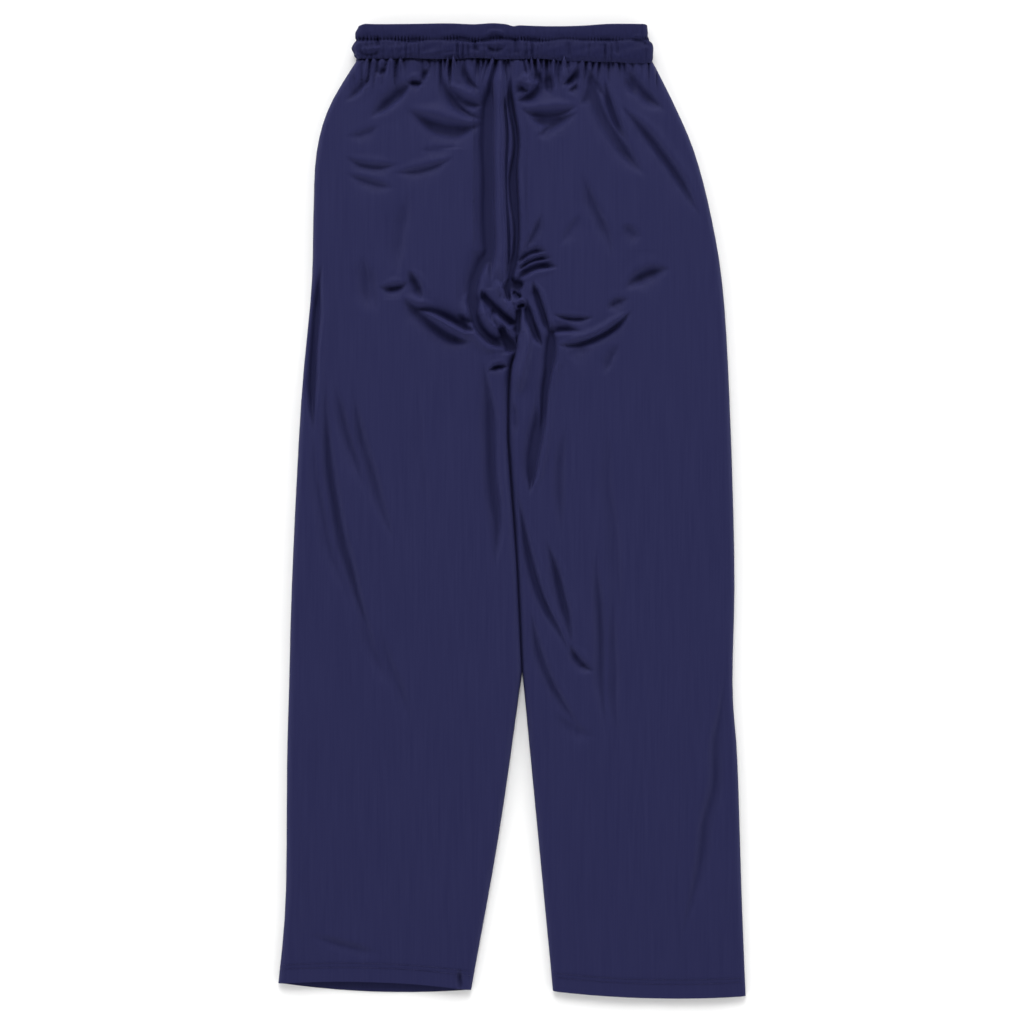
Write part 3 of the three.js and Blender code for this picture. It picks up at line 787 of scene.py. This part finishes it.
def band_point(s, y, inset):
    """A point of the band: its ring, pushed out by its relief, with rounded ends and uneven top and row."""
    middle, outward = hoop(s)
    fade = np.clip(1 - inset / 6, 0, 1)
    x = middle[..., 0] + outward[..., 0] * BAND_RADIUS
    relief = band_relief(s, y, x) + np.clip(outward[..., 1], 0, 1) * folds_at(x, y, BAND_FOLDS)
    flat_part = middle + outward * (BAND_RADIUS - inset + relief * fade)[..., None]
    z = np.maximum(flat_part[..., 1], 0.08 + 0.85 * inset)
    for eyelet in EYELETS:
        near = bell(np.hypot(x - eyelet.x, y - eyelet.y) / EYELET_CALM) * np.clip(-outward[..., 1], 0, 1)
        z = z + near * np.maximum(EYELET_CLOTH_Z + 0.85 * inset - z, 0)
    share = (x - BAND_MIDDLE) / HALF_BAND
    up = (y - BAND_BOTTOM) / (BAND_TOP - BAND_BOTTOM)
    end = np.sign(share) * smooth_step(np.abs(share), 0.90, 1.0)
    lower_knob = np.where(share < 0, 2.2, -0.6) * bell((up - 0.30) / 0.24)
    upper_inset = 2.6 * (share < 0) * smooth_step(up, 0.72, 1.0)
    upper_inset = upper_inset + 5.5 * (share > 0) * smooth_step(up, 0.4, 0.7)
    ends_out = end * (lower_knob - upper_inset)
    dip = 1.4 + 2.6 * bell((share - 0.30) / 0.30) + 1.4 * bell((share - 0.06) / 0.03)
    dip = dip - 1.4 * bell((share + 0.08) / 0.09)
    corner = 1.6 * (share < 0) * smooth_step(-share, 0.93, 1.0)
    lowered_top = (dip + corner + 0.3 * top_waver(s, 0 * y)) * smooth_step(up, 0.5, 1.0)
    row_shift = 0.7 * row_waver(s, 0 * y) * bell((up - 0.55) / 0.25)
    seam_shift = 4.5 * smooth_step(share, -0.1, 1.0) - 1.2 + 0.5 * row_waver(s, 9 + 0 * y)
    seam_shift = seam_shift * (1 - smooth_step(up, 0.0, 0.3))
    return np.stack([flat_part[..., 0] + ends_out, y - lowered_top + row_shift - seam_shift, z], -1)


# %% [markdown]
# The strip runs up the outside, turns over at the top and comes back down inside. Both turns meet in the
# waist seam, so its last row is its first row again, and the elastics are closed in.

# %% Waistband cloth, folded over its top edge
FOLD_RADIUS = (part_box("waistband_inner")[0].z / MM) / 2
fold_top = BAND_TOP - FOLD_RADIUS
outside_y = np.linspace(BAND_BOTTOM, fold_top, 46)
turn_angle = np.linspace(0, math.pi, 9)[1:-1]
inside_y = np.linspace(fold_top, BAND_BOTTOM, 30)
top_turn_y = fold_top + FOLD_RADIUS * np.sin(turn_angle)
top_turn_inset = FOLD_RADIUS * (1 - np.cos(turn_angle))
band_y = np.concatenate([outside_y, top_turn_y, inside_y, [BAND_BOTTOM]])
band_inset = np.concatenate([0 * outside_y, top_turn_inset, 0 * inside_y + 2 * FOLD_RADIUS, [0]])
band_s = np.linspace(0, LAP, 900, endpoint=False)
grid_s, grid_y = np.meshgrid(band_s, band_y)
grid_inset = np.repeat(band_inset[:, None], len(band_s), 1)
waistband = sheet_object("waistband_cloth", band_point(grid_s, grid_y, grid_inset), bunched_knit_painted_shade, closed=True)
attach(waistband, "root")
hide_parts("waistband_outer", "waistband_inner")

# %% [markdown]
# The elastics are woven tapes that lie between the two turns of the cloth. Each is a closed ring with a thin
# rectangular section, so it also reads as a tape where the band is opened.

# %% Elastics
ELASTIC_THICK = 1.0
ROOM_BELOW = 1.2           # between the elastic and the stitching under it
ROOM_ABOVE = 1.4           # and over it


def elastic_ring(name, node_name):
    low, high = (c.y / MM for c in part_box(node_name))
    y = np.linspace(low + ROOM_BELOW, high - ROOM_ABOVE, 12)
    section_y = np.concatenate([y, y[::-1], y[:1]])
    inset = FOLD_RADIUS - ELASTIC_THICK / 2
    section_inset = np.concatenate([0 * y + inset, 0 * y + inset + ELASTIC_THICK, [inset]])
    s, ring_y = np.meshgrid(band_s, section_y)
    points = band_point(s, ring_y, np.repeat(section_inset[:, None], s.shape[1], 1))
    made = sheet_object(name, points, elastic_weave, closed=True)
    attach(made, "root")
    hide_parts(node_name)


elastic_ring("elastic_tape_upper", "waist_elastic_upper")
elastic_ring("elastic_tape_lower", "waist_elastic_lower")

# %% [markdown]
# ## Stitching
# A row of machine stitches is a line of short loops of thread. Each one comes up out of the cloth, lies on it
# and goes down again, and is drawn as a small bent tube. The same function sews the band's dividing row and
# the two rows of each hem.

# %% Stitches
THREAD_RADIUS = 0.32
STITCH_SIDES = 6


def sewn_row(name, line, outward, material, stitch=2.9, share=0.82):
    """Tubes along a finely sampled line of points in mm, each lifted along outward in its middle."""
    steps = np.r_[0, np.cumsum(np.linalg.norm(np.diff(line, axis=0), axis=1))]
    vertices, faces = [], []
    t = np.linspace(0, 1, 5)
    ring = np.linspace(0, 2 * math.pi, STITCH_SIDES, endpoint=False)
    for start in np.arange(0.5, steps[-1] - stitch, stitch):
        at = start + t * stitch * share
        middle = np.stack([np.interp(at, steps, line[:, i]) for i in range(3)], -1)
        up = np.stack([np.interp(at, steps, outward[:, i]) for i in range(3)], -1)
        middle = middle + up * (0.75 * THREAD_RADIUS * np.sin(math.pi * t) - 0.1)[:, None]
        run = middle[-1] - middle[0]
        run /= np.linalg.norm(run)
        across = np.cross(run, up[2])
        radius = THREAD_RADIUS * np.array([0.35, 0.9, 1.0, 0.9, 0.35])
        base = len(vertices)
        for centre, r in zip(middle, radius):
            vertices += [centre + r * (math.cos(a) * across + math.sin(a) * up[2]) for a in ring]
        for i in range(len(t) - 1):
            for j in range(STITCH_SIDES):
                k = (j + 1) % STITCH_SIDES
                first, second = base + i * STITCH_SIDES, base + (i + 1) * STITCH_SIDES
                faces.append((first + j, first + k, second + k, second + j))
        faces.append([base + j for j in range(STITCH_SIDES)][::-1])
        faces.append([base + (len(t) - 1) * STITCH_SIDES + j for j in range(STITCH_SIDES)])
    return smooth_object(name, vertices, faces, material)


row_s = np.linspace(0, LAP, 2600)
row_points = band_point(row_s, np.full(row_s.shape, DIVIDER_Y), np.zeros(row_s.shape))
_, row_out = hoop(row_s)
row_outward = np.stack([row_out[:, 0], 0 * row_s, row_out[:, 1]], -1)
row_points[:, 2] = np.maximum(row_points[:, 2], 0.45)
divider = sewn_row("waistband_stitches", row_points, row_outward, thread)
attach(divider, "root")
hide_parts("waistband_divider_seam")
print("band stitches:", len(divider.data.polygons) // (4 * STITCH_SIDES + 2))

# %% [markdown]
# ## Hems
# Each leg ends in cloth folded up inside it. The turn-up is a ring that lies against the back layer above and
# the front layer below, and two rows of cover stitching hold it through both.

# %% Cloth that lies inside, between the two layers
UNDER_BACK = 0.9           # the ring lies this far under the back layer
OVER_FRONT = 0.8           # and this far over the front layer
RING_GAP = 0.12            # and where they meet, its two runs stay apart by twice this


def inner_ring(name, legs, low_y, high_y, rows, material, inset=1.2, samples=120):
    """A ring of cloth between the layers: across under the back, then back along the front."""
    across = np.linspace(0, 1, samples)
    points = []
    for t in np.linspace(0, 1, rows):
        y = low_y(across) + (high_y(across) - low_y(across)) * t
        left = edge_x(BACK[legs[0]], "inner" if legs == ["right"] else "outer", y) + inset
        right = edge_x(BACK[legs[-1]], "inner" if legs == ["left"] else "outer", y) - inset
        x = left + (right - left) * across
        if len(legs) == 2:
            back, front = either_leg(back_height, x, y), either_leg(front_height, x, y)
        else:
            back, front = back_height(x, y, legs[0]), front_height(x, y, legs[0])
        middle = (back + front) / 2
        upper = np.stack([x, y, np.maximum(back - UNDER_BACK, middle + RING_GAP)], -1)
        lower = np.stack([x, y, np.minimum(front + OVER_FRONT, middle - RING_GAP)], -1)
        points.append(np.concatenate([upper, lower[::-1]]))
    made = sheet_object(name, np.array(points), material, closed=True)
    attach(made, "root")
    return made


HEM_TURN = 20.0            # depth of the turned-up cloth
ROW_GAP = 4.5              # between the two rows of stitches
for name, side in SIDES.items():
    corners = sorted((edge_x(BACK[name], "outer", -1e4), edge_x(BACK[name], "inner", -1e4)))

    def hem_edge(across, name=name, corners=corners):
        return np.interp(corners[0] + (corners[1] - corners[0]) * across, *BACK[name]["hem"]) + 0.4

    turn_up = inner_ring(f"hem_turned_cloth_{name}", [name], hem_edge,
                         lambda a, f=hem_edge: f(a) + HEM_TURN, 14, knit_inside)
    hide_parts(f"hem_turnup_{name}")

    rows_made = []
    across = np.linspace(0.008, 0.992, 500)
    for row, up in (("upper", HEM_TURN - 1), ("lower", HEM_TURN - 1 - ROW_GAP)):
        y = hem_edge(across) + up
        left = edge_x(BACK[name], "outer" if name == "left" else "inner", y)
        right = edge_x(BACK[name], "inner" if name == "left" else "outer", y)
        x = left + (right - left) * across
        for facing, layer in ((1, back_height), (-1, front_height)):
            z = layer(x, y, name) + 0.12 * facing
            if facing < 0:
                z = np.maximum(z, 0.42)
            line = np.stack([x, y, z], -1)
            outward = np.tile([0.0, 0.0, float(facing)], (len(x), 1))
            row_name = f"hem_stitches_{name}_{row}_row_{'back' if facing > 0 else 'front'}"
            rows_made.append(sewn_row(row_name, line, outward, thread))
    for made in rows_made:
        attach(made, "root")
    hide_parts(f"hem_stitching_{name}")
print("hem rows sewn, turned", HEM_TURN, "mm")

# %% [markdown]
# ## Seams inside
# Every seam of a knit garment is overlocked: the raw edges are trimmed and wrapped with thread in one pass,
# which leaves a flat ribbed ribbon inside. The ribs are the thread loops, drawn 2.4 mm apart.

# %% Overlocked ribbons
RIB = 2.4


def ribbon(name, line_x, top_y, bottom_y, reach, height_at, replaced):
    """A ribbed ribbon along a line of X against Y, reaching sideways by the given distances in mm."""
    y = np.arange(top_y, bottom_y, -RIB / 4)
    share = np.linspace(0, 1, 9)
    x = line_x(y)[:, None] + reach[0] + (reach[1] - reach[0]) * share[None, :]
    yy = np.repeat(y[:, None], len(share), 1)
    middle = height_at(x, yy)
    half = 0.36 + 0.14 * np.abs(np.sin(math.pi * yy / RIB)) * np.sin(math.pi * (share * 0.8 + 0.1))[None, :]
    upper = np.stack([x, yy, middle + half], -1)
    lower = np.stack([x, yy, middle - half], -1)[:, ::-1]
    made = sheet_object(name, np.concatenate([upper, lower], 1), overlock, closed=True)
    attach(made, "root")
    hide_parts(replaced)


def between_layers(name):
    def height(x, y):
        return (back_height(x, y, name) + front_height(x, y, name)) / 2
    return height


for name, side in SIDES.items():
    low, high = (c.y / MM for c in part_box(f"side_seam_{name}"))
    ribbon(f"side_seam_overlock_{name}", lambda y, n=name: edge_x(BACK[n], "outer", y), high, low,
           (-side * 2.0, -side * 7.0), between_layers(name), f"side_seam_{name}")
    low, high = (c.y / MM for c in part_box(f"inseam_{name}"))
    ribbon(f"inseam_overlock_{name}", lambda y, n=name: edge_x(BACK[n], "inner", y), high, low,
           (side * 2.0, side * 7.0), between_layers(name), f"inseam_{name}")


def below_creases(x, y):
    """Just under the lowest cloth within a few mm, so that the ribbon doesn't show in a steep crease."""
    nearby = [back_height(x + step, y, "left") for step in (-3.0, -1.5, 0.0, 1.5, 3.0)]
    return np.maximum(np.min(nearby, axis=0) - 1.1, LOWEST_BACK - 0.9)


low, high = (c.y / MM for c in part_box("centre_back_seam"))
ribbon("centre_back_overlock", centre_x, high, low, (-3.5, 3.5), below_creases, "centre_back_seam")
ribbon("centre_front_overlock", centre_x, high, low, (-3.5, 3.5),
       lambda x, y: front_height(x, y, "left") + 0.7, "centre_front_seam")

seam_low, seam_high = (c.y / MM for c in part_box("waist_seam"))
waist_overlock = inner_ring("waist_seam_overlock", ["left", "right"], lambda a: 0 * a + seam_low,
                            lambda a: 0 * a + seam_high, 10, overlock, samples=900)
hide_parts("waist_seam")

# %% [markdown]
# ## Labels and eyelets
# Two blank satin labels hang from the waist seam inside the centre back. The drawcord's eyelets are on the
# front of the band, and each is a small ring of closely wound thread.

# %% Labels
for label in ("care_label", "size_label"):
    low, high = (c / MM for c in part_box(label))
    x, y = np.meshgrid(np.linspace(low.x, high.x, 16), np.linspace(high.y, low.y, 28))
    hang = (high.y - y) / (high.y - low.y)
    back = either_leg(back_height, x, y)
    z = np.minimum(0.5 * (back + 1.2), back - 1.2) + 0.15 * np.sin(2.5 * hang) * np.sin(x / 6)
    z = np.clip(z, 1.9, 2.1)           # between the front layer and the deepest crease of the back
    top, bottom = np.stack([x, y, z + 0.15], -1), np.stack([x, y, z - 0.15], -1)
    made = sheet_object(f"{label}_tape", np.concatenate([top, bottom[:, ::-1]], 1), label_satin, closed=True)
    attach(made, "root")
    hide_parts(label)
    print(made.name, round(high.x - low.x), "x", round(high.y - low.y), "mm")

# %% Eyelets
for name in SIDES:
    low, high = (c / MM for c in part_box(f"drawcord_eyelet_{name}"))
    centre = (low + high) / 2
    outer_radius = (high.x - low.x) / 2
    tube = outer_radius * 0.25
    around, winding = np.meshgrid(np.linspace(0, 2 * math.pi, 96, endpoint=False),
                                  np.linspace(0, 2 * math.pi, 11))
    ribs = tube * (1 + 0.12 * np.cos(24 * around))
    radius = outer_radius - tube + ribs * np.cos(winding)
    z = 0.75 + 0.55 * ribs * np.sin(winding) / tube
    points = np.stack([centre.x + radius * np.cos(around), centre.y + radius * np.sin(around), z], -1)
    made = sheet_object(f"drawcord_eyelet_binding_{name}", points, thread, closed=True)
    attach(made, "root")
    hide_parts(f"drawcord_eyelet_{name}")
